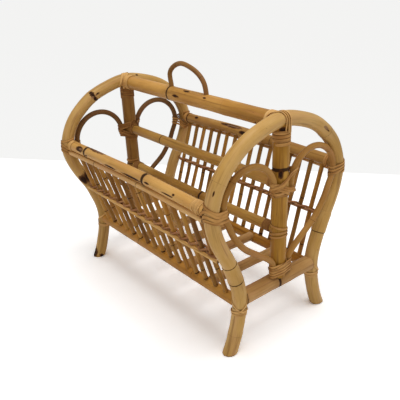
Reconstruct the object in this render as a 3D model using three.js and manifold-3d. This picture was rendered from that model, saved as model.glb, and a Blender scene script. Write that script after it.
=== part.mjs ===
// Magazine basket of bent rattan canes, bound with strips of peeled cane.
// Two bent hoops stand on their own ends. Rails join them, slats close the two sloping sides,
// and a centre rail with a small handle divides the basket into two pockets.
// Millimetres, +Z up. X runs along the basket, -Y is its front, and the origin is on the floor.

import * as THREE from 'three';
import { mergeVertices } from 'three/addons/utils/BufferGeometryUtils.js';
import Module from 'manifold-3d';

const wasm = await Module();
wasm.setup();

// End hoops
const hoopSpacing = 400;
const hoopHeight = 346;
const hoopHalfWidth = 133;
const hoopDiameter = 21.5;
const hoopWidestShare = 0.705;
const hoopOutlineShares = [
  [0, 1], [0.256, 0.98], [0.541, 0.942], [0.722, 0.89], [0.872, 0.832], [0.962, 0.763], [1, hoopWidestShare],
  [0.992, 0.659], [0.947, 0.595], [0.872, 0.532], [0.767, 0.462], [0.707, 0.405], [0.639, 0.335],
  [0.602, 0.266], [0.609, 0.191], [0.662, 0.104], [0.707, 0.046], [0.759, 0], [0.812, -0.04],
];

// Centre posts and the rails between the two ends
const postDiameter = 23.5;
const topRailDiameter = 24.5;
const topRailDrop = 5.5;
const middleRailDiameter = 15;
const middleRailRise = 3;
const lowerRailDiameter = 14.5;
const upperRailDiameter = 18;
const upperRailRise = 2;
const bottomRailDiameter = 18;
const bottomRailHeight = 80;
const endRailDiameter = 24;
const endRailRise = 8;

// Floor of the basket
const crossbarDiameter = 16;
const crossbarRise = 4;
const crossbarSpacing = 65;
const crossbarEndMargin = 50;

// Woven sides
const slatDiameter = 6.6;
const slatPitch = 23;
const slatSeat = 7;
const edgeCaneDiameter = 8.5;
const edgeCaneDrop = 14;
const strandDiameter = 3;
const strandBite = 0.5;

// Bent loops that fill the ends
const loopDiameter = 8.8;
const loopDrop = 3;
const loopTail = 24;
const loopRunShares = [
  [0.962, 0.87], [0.875, 0.74], [0.755, 0.62], [0.605, 0.485], [0.335, 0.325], [0.115, 0.18],
];
const loopBendShares = [[0.02, 0.14], [0, 0.09]];

// Handle on the top rail
const handleDiameter = 8;
const handleSpan = 92;
const handleRise = 41;
const handleOffset = -7;
const handleSeat = 9;
const handleShares = [
  [-0.532, 0.518], [-0.424, 0.8], [-0.192, 1], [0.095, 0.909], [0.328, 0.677], [0.451, 0.396],
];

// Strips of peeled cane that bind the joints
const stripWidth = 3.7;
const stripThickness = 1.4;
const stripGap = 0.8;
const crownTurns = 3.3;
const middleTurns = 1.6;
const lowerTurns = 1.3;
const footTurns = 2.6;
const shoulderTurns = 1.2;
const legTurns = 1.3;

// Where a strip crosses from below a rail to above it, as turns from +Y round by the outer face
const postCrossingTurns = [0.07, 0.43];
const backLegCrossingTurns = [-0.06, 0.24];
const frontLegCrossingTurns = [0.26, 0.56];

// Nails through the hoops into the ends of the rails
const nailDiameter = 1.8;
const nailHeadDiameter = 3.6;
const nailHeadThickness = 1;
const nailPoint = 2;
const nailSink = 0.6;
const nailBite = 12;
const nailOffset = 4;

// Fits
const clearance = 0.3;
const bindingClearance = 0.65;
const copeDepth = 3;
const cutOverrun = 5;

// Facets
const hoopSides = 10;
const hoopSteps = 36;
const railSides = 12;
const loopSides = 6;
const loopSteps = 28;
const archSteps = 8;
const handleSteps = 18;
const slatSides = 6;
const strandSides = 4;
const nailSides = 6;
const turnSteps = 12;
const scanSteps = 120;

// Sizes worked out from the ones above
const halfLength = hoopSpacing / 2;
const hoopRadius = hoopDiameter / 2;
const postRadius = postDiameter / 2;
const loopRadius = loopDiameter / 2;
const topRailRadius = topRailDiameter / 2;
const endRailRadius = endRailDiameter / 2;
const stripPitch = stripWidth + stripGap;

// Heights: the upper rails meet the hoops where these are widest, and the rest follows
const topRailHeight = hoopHeight - topRailDrop;
const upperRailHeight = hoopHeight * hoopWidestShare + upperRailRise;
const middleRailHeight = upperRailHeight + middleRailRise;
const loopHeight = upperRailHeight - loopDrop;
const endRailHeight = bottomRailHeight + endRailRise;
const crossbarHeight = bottomRailHeight + crossbarRise;
const twiningHeight = (bottomRailHeight + upperRailHeight) / 2;
const lowerRailHeight = (endRailHeight + endRailRadius + middleRailHeight) / 2;

// Counts that follow from the pitches
const innerLength = hoopSpacing - hoopDiameter;
const slatEndMargin = nailBite + slatDiameter / 2 + 2 * clearance;
const slatCount = Math.floor((innerLength - 2 * slatEndMargin) / slatPitch) + 1;
const crossbarCount = Math.floor((innerLength - 2 * crossbarEndMargin) / crossbarSpacing) + 1;

// Solids from closed geometries, and back

function solid(geometry) {
  const bare = geometry.clone();
  bare.deleteAttribute('normal');
  bare.deleteAttribute('uv');
  const merged = mergeVertices(bare);
  return new wasm.Manifold(new wasm.Mesh({
    numProp: 3,
    vertProperties: new Float32Array(merged.attributes.position.array),
    triVerts: new Uint32Array(merged.index.array),
  }));
}

function geometryOf(body) {
  const mesh = body.getMesh();
  const geometry = new THREE.BufferGeometry();
  geometry.setAttribute('position', new THREE.BufferAttribute(mesh.vertProperties, mesh.numProp));
  geometry.setIndex(new THREE.BufferAttribute(mesh.triVerts, 1));
  geometry.computeVertexNormals();
  return geometry;
}

function cut(geometry, tools) {
  let body = solid(geometry);
  for (const tool of tools) {
    body = body.subtract(solid(tool));
  }
  return geometryOf(body);
}

// A cane is a round section carried along its centre line

function roundSection(radius, sides) {
  const corners = [];
  for (let i = 0; i < sides; i += 1) {
    const angle = (2 * Math.PI * i) / sides;
    corners.push(new THREE.Vector2(radius * Math.cos(angle), radius * Math.sin(angle)));
  }
  return new THREE.Shape(corners);
}

function bentCane(centreLine, radius, steps, sides) {
  return new THREE.ExtrudeGeometry(roundSection(radius, sides), {
    steps,
    extrudePath: centreLine,
    bevelEnabled: false,
  });
}

function straightCane(from, to, radius, sides) {
  return bentCane(new THREE.LineCurve3(from, to), radius, 1, sides);
}

// The whole basket is the same turned half way round, so one end serves for both

function atBothEnds(geometry) {
  const right = geometry.clone().translate(halfLength, 0, 0);
  const left = right.clone().rotateZ(Math.PI);
  return [right, left];
}

// End hoops: one bent cane each, in the plane x = 0 of its end

function hoopPoints() {
  const side = hoopOutlineShares.map(([across, up]) => (
    new THREE.Vector3(0, across * hoopHalfWidth, up * hoopHeight)));
  const otherSide = side.slice(1).reverse().map((point) => new THREE.Vector3(0, -point.y, point.z));
  return [...otherSide, ...side];
}

const hoopCurve = new THREE.CatmullRomCurve3(hoopPoints());
const hoopSamples = hoopCurve.getSpacedPoints(hoopSteps);

function crossings(samples, height) {
  const found = [];
  for (let i = 1; i < samples.length; i += 1) {
    const low = samples[i - 1];
    const high = samples[i];
    if ((low.z - height) * (high.z - height) <= 0 && low.z !== high.z) {
      const share = (height - low.z) / (high.z - low.z);
      const slope = Math.abs((high.y - low.y) / (high.z - low.z));
      found.push({ y: low.y + share * (high.y - low.y), slope });
    }
  }
  return found;
}

function hoopAt(height) {
  return crossings(hoopSamples, height).reduce((best, place) => (place.y > best.y ? place : best));
}

function hoopBody(grow) {
  return bentCane(hoopCurve, hoopRadius + grow, hoopSteps, hoopSides);
}

function belowFloor() {
  const width = 2 * (hoopHalfWidth + hoopDiameter);
  const depth = hoopHeight;
  return new THREE.BoxGeometry(width, width, depth).translate(0, 0, -depth / 2);
}

function hoop() {
  return cut(hoopBody(0), [belowFloor(), ...nailPlaces().map((place) => nailHole(place))]);
}

// Nails: each starts on the outer face of a hoop and points inwards

function nailLength() {
  return hoopDiameter - nailSink + nailBite;
}

function nailPlaces() {
  const inwards = new THREE.Vector3(-1, 0, 0);
  const places = [
    { name: 'top_rail_nail', head: new THREE.Vector3(hoopRadius, nailOffset, hoopHeight), way: inwards },
    {
      name: 'post_nail',
      head: new THREE.Vector3(0, -nailOffset, hoopHeight + hoopRadius),
      way: new THREE.Vector3(0, 0, -1),
    },
  ];
  for (const side of [-1, 1]) {
    const upper = new THREE.Vector3(hoopRadius, side * hoopAt(upperRailHeight).y, upperRailHeight);
    const bottom = new THREE.Vector3(hoopRadius, side * hoopAt(bottomRailHeight).y, bottomRailHeight);
    const foot = hoopAt(endRailHeight).y + hoopRadius;
    places.push(
      { name: 'upper_rail_nail', side, head: upper, way: inwards },
      { name: 'bottom_rail_nail', side, head: bottom, way: inwards },
      {
        name: 'end_rail_nail',
        side,
        head: new THREE.Vector3(0, side * foot, endRailHeight),
        way: new THREE.Vector3(0, -side, 0),
      },
    );
  }
  return places;
}

function nailProfile(grow, open) {
  const head = nailHeadDiameter / 2 + grow;
  const shank = nailDiameter / 2 + grow;
  const shoulder = nailSink + nailHeadThickness + grow;
  const tip = nailSink + nailLength() + grow;
  const start = open ? -cutOverrun : nailSink;
  return [
    new THREE.Vector2(0, start),
    new THREE.Vector2(head, start),
    new THREE.Vector2(head, shoulder),
    new THREE.Vector2(shank, shoulder),
    new THREE.Vector2(shank, tip - nailPoint),
    new THREE.Vector2(0, tip),
  ];
}

function nailBody(place, grow, open) {
  const body = new THREE.LatheGeometry(nailProfile(grow, open), nailSides);
  const turn = new THREE.Quaternion().setFromUnitVectors(new THREE.Vector3(0, 1, 0), place.way);
  return body.applyQuaternion(turn).translate(place.head.x, place.head.y, place.head.z);
}

function nail(place) {
  return nailBody(place, 0, false);
}

function nailHole(place) {
  return nailBody(place, clearance, true);
}

// Centre posts: from a saddle on the end rail up to a saddle under the hoop's crown

function postBody(grow) {
  const foot = endRailHeight + endRailRadius - copeDepth;
  const head = hoopHeight - hoopRadius + copeDepth;
  return straightCane(new THREE.Vector3(0, 0, foot - grow), new THREE.Vector3(0, 0, head + grow),
    postRadius + grow, railSides);
}

function post() {
  return cut(postBody(0), [hoopBody(clearance), endRailBody(clearance), ...nailPlaces().map(nailHole)]);
}

// Bottom end rails: between the two legs of a hoop, under the post

function endRailBody(grow) {
  const reach = hoopAt(endRailHeight).y - hoopRadius + copeDepth + grow;
  return straightCane(new THREE.Vector3(0, -reach, endRailHeight), new THREE.Vector3(0, reach, endRailHeight),
    endRailRadius + grow, railSides);
}

function endRail() {
  return cut(endRailBody(0), [hoopBody(clearance), ...nailPlaces().map(nailHole)]);
}

// Loops: up from the post's side, over, down the inside of the hoop and back to the post's foot

const loopInner = postRadius + loopRadius + clearance;
const loopOuter = hoopAt(loopHeight).y - hoopRadius - loopRadius - clearance;
const loopFoot = endRailHeight + endRailRadius + 2 * clearance;
const loopHead = middleRailHeight - loopTail;

function loopCurve() {
  const width = loopOuter - loopInner;
  const bend = width / 2;
  const points = [new THREE.Vector3(0, loopInner, loopHead)];
  for (let i = 0; i <= archSteps; i += 1) {
    const angle = Math.PI * (1 - i / archSteps);
    const y = loopInner + bend * (1 + Math.cos(angle));
    points.push(new THREE.Vector3(0, y, loopHeight + bend * Math.sin(angle)));
  }
  for (const [across, up] of [...loopRunShares, ...loopBendShares]) {
    points.push(new THREE.Vector3(0, loopInner + across * width, loopFoot + up * (loopHeight - loopFoot)));
  }
  points.push(new THREE.Vector3(0, loopInner, loopFoot));
  return new THREE.CatmullRomCurve3(points);
}

const loopSamples = loopCurve().getSpacedPoints(loopSteps);

function loopAt(height, outermost) {
  const found = crossings(loopSamples, height);
  return found.reduce((best, place) => ((place.y > best.y) === outermost ? place : best));
}

function upright(place, side, radius) {
  return { y: side * place.y, radius: radius * Math.hypot(1, place.slope) + (place.slope * stripWidth) / 2 };
}

function loopBody(side) {
  const body = bentCane(loopCurve(), loopRadius, loopSteps, loopSides);
  return side > 0 ? body : body.rotateZ(Math.PI);
}

function loop(side) {
  return cut(loopBody(side), [hoopBody(clearance), postBody(clearance), endRailBody(clearance)]);
}

// Bindings: a flat strip wound round upright canes.
// Levels are pairs of turns and height. A turn starts at +Y and goes by way of the outer face, +X.

function levelAt(levels, turn) {
  let index = 1;
  while (index < levels.length - 1 && turn > levels[index][0]) {
    index += 1;
  }
  const [fromTurn, fromHeight] = levels[index - 1];
  const [toTurn, toHeight] = levels[index];
  return fromHeight + ((turn - fromTurn) / (toTurn - fromTurn)) * (toHeight - fromHeight);
}

function outermostCane(canes, direction) {
  return canes.reduce((best, cane) => (
    cane.y * direction.y + cane.radius > best.y * direction.y + best.radius ? cane : best));
}

function windingPlace(canesAt, levels, turn, owner) {
  const angle = 2 * Math.PI * turn;
  const direction = new THREE.Vector3(Math.sin(angle), Math.cos(angle), 0);
  const height = levelAt(levels, turn);
  const canes = canesAt(height);
  const cane = owner === undefined ? outermostCane(canes, direction) : canes[owner];
  const away = (cane.radius + bindingClearance + stripThickness / 2) / Math.cos(Math.PI / turnSteps);
  const centre = direction.clone().multiplyScalar(away).add(new THREE.Vector3(0, cane.y, height));
  return { turn, centre, direction, owner: canes.indexOf(cane) };
}

function windingPlaces(canesAt, levels) {
  const first = levels[0][0];
  const last = levels[levels.length - 1][0];
  const count = Math.ceil((last - first) * scanSteps);
  const places = [windingPlace(canesAt, levels, first)];
  let before = places[0];
  for (let i = 1; i <= count; i += 1) {
    const place = windingPlace(canesAt, levels, first + ((last - first) * i) / count);
    const kept = places[places.length - 1];
    if (place.owner !== before.owner) {
      if (before !== kept) {
        places.push(before);
      }
      places.push(windingPlace(canesAt, levels, before.turn, place.owner));
    } else if ((place.turn - kept.turn) * turnSteps >= 1 || i === count) {
      places.push(place);
    }
    before = place;
  }
  return places;
}

function stripRings(places) {
  return places.map((place, i) => {
    const before = places[Math.max(i - 1, 0)].centre;
    const after = places[Math.min(i + 1, places.length - 1)].centre;
    const along = after.clone().sub(before).normalize();
    const across = along.clone().cross(place.direction).normalize();
    const out = across.clone().cross(along);
    return [[1, 1], [-1, 1], [-1, -1], [1, -1]].map(([wide, deep]) => place.centre.clone()
      .addScaledVector(across, (wide * stripWidth) / 2)
      .addScaledVector(out, (deep * stripThickness) / 2));
  });
}

function leastGap(rings, places) {
  let least = Infinity;
  for (let i = 0; i < rings.length; i += 1) {
    for (let j = i + 1; j < rings.length; j += 1) {
      if (places[j].turn - places[i].turn > 1 / 2) {
        for (const a of rings[i]) {
          least = Math.min(least, ...rings[j].map((b) => a.distanceTo(b)));
        }
      }
    }
  }
  return least;
}

function stripGeometry(rings) {
  const corners = rings.flat();
  const sides = rings[0].length;
  const faces = [];
  for (let i = 1; i < rings.length; i += 1) {
    for (let k = 0; k < sides; k += 1) {
      const next = (k + 1) % sides;
      const a = (i - 1) * sides;
      const b = i * sides;
      faces.push(a + k, b + next, a + next, a + k, b + k, b + next);
    }
  }
  const last = (rings.length - 1) * sides;
  faces.push(0, 1, 2, 0, 2, 3, last + 2, last + 1, last, last + 3, last + 2, last);
  const geometry = new THREE.BufferGeometry().setFromPoints(corners);
  geometry.setIndex(faces);
  geometry.computeVertexNormals();
  return geometry;
}

function binding(name, canesAt, levels) {
  const places = windingPlaces(canesAt, levels);
  const rings = stripRings(places);
  console.log(`${name}: least gap of the strip to itself ${leastGap(rings, places).toFixed(2)} mm`);
  return stripGeometry(rings);
}

function plainLevels(bottom, turns) {
  return [[0, bottom], [turns, bottom + turns * stripPitch]];
}

function crossingLevels(below, above, fromTurn, toTurn, turns) {
  const margin = stripWidth / 2 + clearance;
  const low = below - margin;
  const high = above + margin;
  return [
    [fromTurn - turns, low - turns * stripPitch],
    [fromTurn, low],
    [toTurn, high],
    [toTurn + turns, high + turns * stripPitch],
  ];
}

const postAlone = () => [{ y: 0, radius: postRadius }];

function postWithLoops(height) {
  const place = loopAt(height, false);
  return [...postAlone(), upright(place, 1, loopRadius), upright(place, -1, loopRadius)];
}

function hoopAlone(side) {
  return (height) => [upright(hoopAt(height), side, hoopRadius)];
}

function hoopWithLoop(side) {
  return (height) => [...hoopAlone(side)(height), upright(loopAt(height, true), side, loopRadius)];
}

function crownBinding(name) {
  const top = topRailHeight - topRailRadius - stripWidth / 2 - clearance;
  return binding(name, postAlone, plainLevels(top - crownTurns * stripPitch, crownTurns));
}

function middleBinding(name) {
  const reach = middleRailDiameter / 2;
  return binding(name, postWithLoops,
    crossingLevels(middleRailHeight - reach, middleRailHeight + reach, ...postCrossingTurns, middleTurns));
}

function lowerBinding(name) {
  const reach = lowerRailDiameter / 2;
  return binding(name, postAlone,
    crossingLevels(lowerRailHeight - reach, lowerRailHeight + reach, ...postCrossingTurns, lowerTurns));
}

function footBinding(name) {
  const bottom = endRailHeight + endRailRadius + stripWidth / 2 + clearance;
  return binding(name, postWithLoops, plainLevels(bottom, footTurns));
}

function shoulderBinding(name, side) {
  const below = upperRailHeight - edgeCaneDrop - edgeCaneDiameter / 2;
  const above = upperRailHeight + upperRailDiameter / 2;
  return binding(name, hoopWithLoop(side), crossingLevels(below, above, ...postCrossingTurns, shoulderTurns));
}

function legBinding(name, side) {
  const below = Math.min(bottomRailHeight - bottomRailDiameter / 2, endRailHeight - endRailRadius);
  const above = Math.max(bottomRailHeight + bottomRailDiameter / 2, endRailHeight + endRailRadius);
  const turns = side > 0 ? backLegCrossingTurns : frontLegCrossingTurns;
  return binding(name, hoopAlone(side), crossingLevels(below, above, ...turns, legTurns));
}

// Rails along the basket

function railBody(y, z, radius, reach) {
  return straightCane(new THREE.Vector3(-reach, y, z), new THREE.Vector3(reach, y, z), radius, railSides);
}

function allNailHoles() {
  return nailPlaces().flatMap((place) => atBothEnds(nailHole(place)));
}

function topRailBody() {
  return railBody(0, topRailHeight, topRailRadius, halfLength - hoopRadius + copeDepth);
}

function topRail() {
  return cut(topRailBody(), [
    ...atBothEnds(hoopBody(clearance)),
    ...atBothEnds(postBody(clearance)),
    ...allNailHoles(),
    handleBody(clearance),
  ]);
}

function centreRail(height, diameter) {
  return cut(railBody(0, height, diameter / 2, halfLength), atBothEnds(postBody(clearance)));
}

// Handle: a thin bent cane, its ends in holes in the top rail

function handleBody(grow) {
  const rest = topRailHeight + topRailRadius;
  const foot = rest - handleSeat - grow;
  const start = new THREE.Vector3(handleOffset - handleSpan / 2, 0, foot);
  const end = new THREE.Vector3(handleOffset + handleSpan / 2, 0, foot);
  const bow = handleShares.map(([along, up]) => (
    new THREE.Vector3(handleOffset + along * handleSpan, 0, rest + up * handleRise)));
  const centreLine = new THREE.CatmullRomCurve3([
    start,
    new THREE.Vector3(start.x, 0, rest),
    ...bow,
    new THREE.Vector3(end.x, 0, rest),
    end,
  ]);
  return bentCane(centreLine, handleDiameter / 2 + grow, handleSteps, loopSides);
}

// Woven sides, built at the front: a side rail above and below, slats in holes between them

const frontUpperY = -hoopAt(upperRailHeight).y;
const frontBottomY = -hoopAt(bottomRailHeight).y;
const sideRise = upperRailHeight - bottomRailHeight;
const sideLean = new THREE.Vector3(0, frontUpperY - frontBottomY, sideRise).normalize();

function slatX(index) {
  return (index - (slatCount - 1) / 2) * slatPitch;
}

function slatBody(index, grow) {
  const x = slatX(index);
  const foot = bottomRailDiameter / 2 - slatSeat - grow;
  const head = upperRailDiameter / 2 - slatSeat - grow;
  const from = new THREE.Vector3(x, frontBottomY, bottomRailHeight).addScaledVector(sideLean, foot);
  const to = new THREE.Vector3(x, frontUpperY, upperRailHeight).addScaledVector(sideLean, -head);
  return straightCane(from, to, slatDiameter / 2 + grow, slatSides);
}

function allSlats(grow) {
  const slats = [];
  for (let i = 0; i < slatCount; i += 1) {
    slats.push(slatBody(i, grow));
  }
  return slats;
}

function upperRail() {
  return cut(railBody(frontUpperY, upperRailHeight, upperRailDiameter / 2, halfLength), [
    ...atBothEnds(hoopBody(clearance)),
    ...allNailHoles(),
    ...allSlats(clearance),
  ]);
}

function bottomRailBody(grow) {
  return railBody(frontBottomY, bottomRailHeight, bottomRailDiameter / 2 + grow, halfLength);
}

function bottomRail() {
  return cut(bottomRailBody(0), [
    ...atBothEnds(hoopBody(clearance)),
    ...atBothEnds(endRailBody(clearance)),
    ...allNailHoles(),
    ...allSlats(clearance),
  ]);
}

function edgeCane() {
  const height = upperRailHeight - edgeCaneDrop;
  const away = (slatDiameter + edgeCaneDiameter) / 2 + clearance;
  const onSlats = frontUpperY + ((height - upperRailHeight) * sideLean.y) / sideLean.z;
  const y = onSlats - away / sideLean.z;
  const railRoom = railBody(frontUpperY, upperRailHeight, upperRailDiameter / 2 + clearance, hoopSpacing);
  return cut(railBody(y, height, edgeCaneDiameter / 2, halfLength),
    [...atBothEnds(hoopBody(clearance)), railRoom]);
}

function strandCorners(way) {
  const swing = slatDiameter / 2 + strandDiameter / 2 - strandBite;
  const twist = strandDiameter / 2 + clearance;
  const outwards = new THREE.Vector3(0, -sideLean.z, sideLean.y);
  const run = (twiningHeight - bottomRailHeight) / sideLean.z;
  const centre = new THREE.Vector3(0, frontBottomY, bottomRailHeight).addScaledVector(sideLean, run);
  const end = halfLength - hoopRadius - 2 * clearance;
  const points = [centre.clone().setX(-end)];
  for (let step = 0; step <= 2 * (slatCount - 1); step += 1) {
    const side = Math.round(Math.cos((step * Math.PI) / 2));
    const rise = Math.round(Math.sin((step * Math.PI) / 2));
    points.push(centre.clone().setX(slatX(step / 2))
      .addScaledVector(outwards, way * side * swing)
      .addScaledVector(sideLean, way * rise * twist));
  }
  points.push(centre.clone().setX(end));
  for (const point of [points[0], points[points.length - 1]]) {
    point.addScaledVector(sideLean, way * twist);
  }
  return points;
}

// A line through given corners, so that a strand's steps fall on them

class CornerLine extends THREE.Curve {
  constructor(corners) {
    super();
    this.corners = corners;
  }

  getPoint(share, target = new THREE.Vector3()) {
    const place = share * (this.corners.length - 1);
    const index = Math.min(Math.floor(place), this.corners.length - 2);
    return target.lerpVectors(this.corners[index], this.corners[index + 1], place - index);
  }

  getUtoTmapping(share) {
    return share;
  }
}

function strand(way) {
  const corners = strandCorners(way);
  return bentCane(new CornerLine(corners), strandDiameter / 2, corners.length - 1, strandSides);
}

function wovenSide() {
  let body = solid(strand(1)).add(solid(strand(-1)));
  for (const slat of allSlats(0)) {
    body = body.add(solid(slat));
  }
  return geometryOf(body);
}

// Floor crossbars, between the two bottom side rails

function crossbar() {
  const reach = -frontBottomY - bottomRailDiameter / 2 + copeDepth;
  const from = new THREE.Vector3(0, -reach, crossbarHeight);
  const to = new THREE.Vector3(0, reach, crossbarHeight);
  const rail = bottomRailBody(clearance);
  return cut(straightCane(from, to, crossbarDiameter / 2, railSides), [rail, rail.clone().rotateZ(Math.PI)]);
}

// Assembly

const paleCane = { color: 0xc9a063, roughness: 0.5 };
const goldenCane = { color: 0xba8e50, roughness: 0.5 };
const shadedCane = { color: 0x9c6f38, roughness: 0.6 };
const peeledCane = { color: 0xb08458, roughness: 0.7 };
const steel = { color: 0x6d6a66, roughness: 0.4, metalness: 1 };

function piece(name, geometry, look) {
  const mesh = new THREE.Mesh(geometry, new THREE.MeshStandardMaterial(look));
  mesh.name = name;
  return mesh;
}

function sideName(end, side) {
  return end * side > 0 ? 'back' : 'front';
}

function endGroup(end) {
  const name = end > 0 ? 'right' : 'left';
  const group = new THREE.Group();
  group.position.x = end * halfLength;
  group.rotation.z = end > 0 ? 0 : Math.PI;
  group.add(piece(`${name}_end_hoop`, hoop(), paleCane));
  group.add(piece(`${name}_centre_post`, post(), goldenCane));
  group.add(piece(`${name}_bottom_end_rail`, endRail(), goldenCane));
  group.add(piece(`${name}_crown_binding`, crownBinding(`${name}_crown_binding`), peeledCane));
  group.add(piece(`${name}_middle_binding`, middleBinding(`${name}_middle_binding`), peeledCane));
  group.add(piece(`${name}_lower_binding`, lowerBinding(`${name}_lower_binding`), peeledCane));
  group.add(piece(`${name}_post_foot_binding`, footBinding(`${name}_post_foot_binding`), peeledCane));
  for (const side of [-1, 1]) {
    const corner = `${name}_${sideName(end, side)}`;
    const shoulder = `${corner}_shoulder_binding`;
    const leg = `${corner}_leg_binding`;
    group.add(piece(`${corner}_loop`, loop(side), shadedCane));
    group.add(piece(shoulder, shoulderBinding(shoulder, side), peeledCane));
    group.add(piece(leg, legBinding(leg, side), peeledCane));
  }
  for (const place of nailPlaces()) {
    const corner = place.side ? `${name}_${sideName(end, place.side)}` : name;
    group.add(piece(`${corner}_${place.name}`, nail(place), steel));
  }
  return group;
}

function sideGroup(name, turn) {
  const group = new THREE.Group();
  group.rotation.z = turn;
  group.add(piece(`${name}_upper_rail`, upperRail(), paleCane));
  group.add(piece(`${name}_bottom_rail`, bottomRail(), goldenCane));
  group.add(piece(`${name}_edge_cane`, edgeCane(), paleCane));
  group.add(piece(`${name}_woven_side`, wovenSide(), shadedCane));
  return group;
}

function centreGroup() {
  const group = new THREE.Group();
  group.add(piece('top_rail', topRail(), paleCane));
  group.add(piece('middle_rail', centreRail(middleRailHeight, middleRailDiameter), goldenCane));
  group.add(piece('lower_centre_rail', centreRail(lowerRailHeight, lowerRailDiameter), goldenCane));
  group.add(piece('handle_loop', handleBody(0), shadedCane));
  return group;
}

function floorGroup() {
  const group = new THREE.Group();
  for (let i = 0; i < crossbarCount; i += 1) {
    const bar = piece(`floor_crossbar_${i + 1}`, crossbar(), goldenCane);
    bar.position.x = (i - (crossbarCount - 1) / 2) * crossbarSpacing;
    group.add(bar);
  }
  return group;
}

const basket = new THREE.Group();
basket.add(endGroup(1));
basket.add(endGroup(-1));
basket.add(sideGroup('front', 0));
basket.add(sideGroup('back', Math.PI));
basket.add(centreGroup());
basket.add(floorGroup());

export default basket;
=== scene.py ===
# Magazine basket of bent rattan canes, nailed together and bound with strips of peeled cane.
# Metres, +Z up. X runs along the basket and -Y is its front. The sections follow its assembly.

from bisect import bisect_right
from itertools import accumulate
from math import atan2, copysign, cos, exp, hypot, pi, radians, sin, tau

import bmesh
import bpy
from mathutils import Color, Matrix, Quaternion, Vector, noise
from mathutils.bvhtree import BVHTree
from mathutils.geometry import interpolate_bezier, intersect_line_line


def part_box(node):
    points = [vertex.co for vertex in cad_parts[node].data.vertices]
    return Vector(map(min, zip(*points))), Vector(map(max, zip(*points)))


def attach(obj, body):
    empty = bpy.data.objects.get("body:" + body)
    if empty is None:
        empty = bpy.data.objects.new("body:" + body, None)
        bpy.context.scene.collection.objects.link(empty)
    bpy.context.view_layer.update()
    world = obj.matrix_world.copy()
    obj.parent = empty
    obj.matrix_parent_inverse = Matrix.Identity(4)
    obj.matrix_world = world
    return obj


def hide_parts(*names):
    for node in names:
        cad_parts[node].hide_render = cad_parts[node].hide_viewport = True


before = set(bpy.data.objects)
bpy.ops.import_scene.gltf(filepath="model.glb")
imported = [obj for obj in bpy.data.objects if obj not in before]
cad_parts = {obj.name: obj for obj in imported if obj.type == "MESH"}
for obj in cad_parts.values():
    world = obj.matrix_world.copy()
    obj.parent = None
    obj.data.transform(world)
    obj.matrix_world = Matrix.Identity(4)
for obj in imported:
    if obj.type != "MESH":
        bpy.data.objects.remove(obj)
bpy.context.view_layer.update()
mm = 0.001


# End hoops
# One thick rattan cane each, steamed and bent into a wide crown and two splayed legs. The bark stays
# on: the joints where leaves grew show as dark rings, and knots and scorched places are left as they are.
# A ring low on the right hoop's front leg and the dark lines at the sleeves' lower edges are painted
# shadow.

half_length = 200 * mm
hoop_height = 346 * mm
hoop_half_width = 133 * mm
hoop_diameter = 21.9 * mm
hoop_shares = [
    (0, 1), (0.256, 0.98), (0.541, 0.942), (0.722, 0.89), (0.872, 0.832), (0.962, 0.763), (1, 0.705),
    (0.992, 0.659), (0.947, 0.595), (0.872, 0.532), (0.767, 0.462), (0.707, 0.405), (0.639, 0.335),
    (0.602, 0.266), (0.609, 0.191), (0.662, 0.104), (0.707, 0.046), (0.759, 0), (0.812, -0.04),
]
hoop_steps = 16
hoop_ease_rounds = 40
foot_rounding = 1.6 * mm
# The ring, scorch and burn tones darken real marks, and they also paint shadow where a ring or stain spot
# is placed for it.
ring_tone = (44, 22, 8)
scorch_and_shadow_tone = (80, 44, 20)
burn_and_shadow_tone = (36, 17, 7)
bare_tone = (136, 100, 72)


def colour(red, green, blue):
    """A screen colour, 0 to 255, as the linear colour that a shader takes."""
    return (*Color((red / 255, green / 255, blue / 255)).from_srgb_to_scene_linear(), 1)


class Level:
    """A number that varies over a surface. Sums on it add Math nodes."""

    def __init__(self, finish, socket):
        self.finish = finish
        self.socket = socket

    def reckon(self, operation, first, second):
        return self.finish.level("Math", {0: first, 1: second}, operation=operation)

    def __add__(self, other):
        return self.reckon("ADD", self, other)

    def __sub__(self, other):
        return self.reckon("SUBTRACT", self, other)

    def __rsub__(self, other):
        return self.reckon("SUBTRACT", other, self)

    def __mul__(self, other):
        return self.reckon("MULTIPLY", self, other)

    __radd__ = __add__


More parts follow.
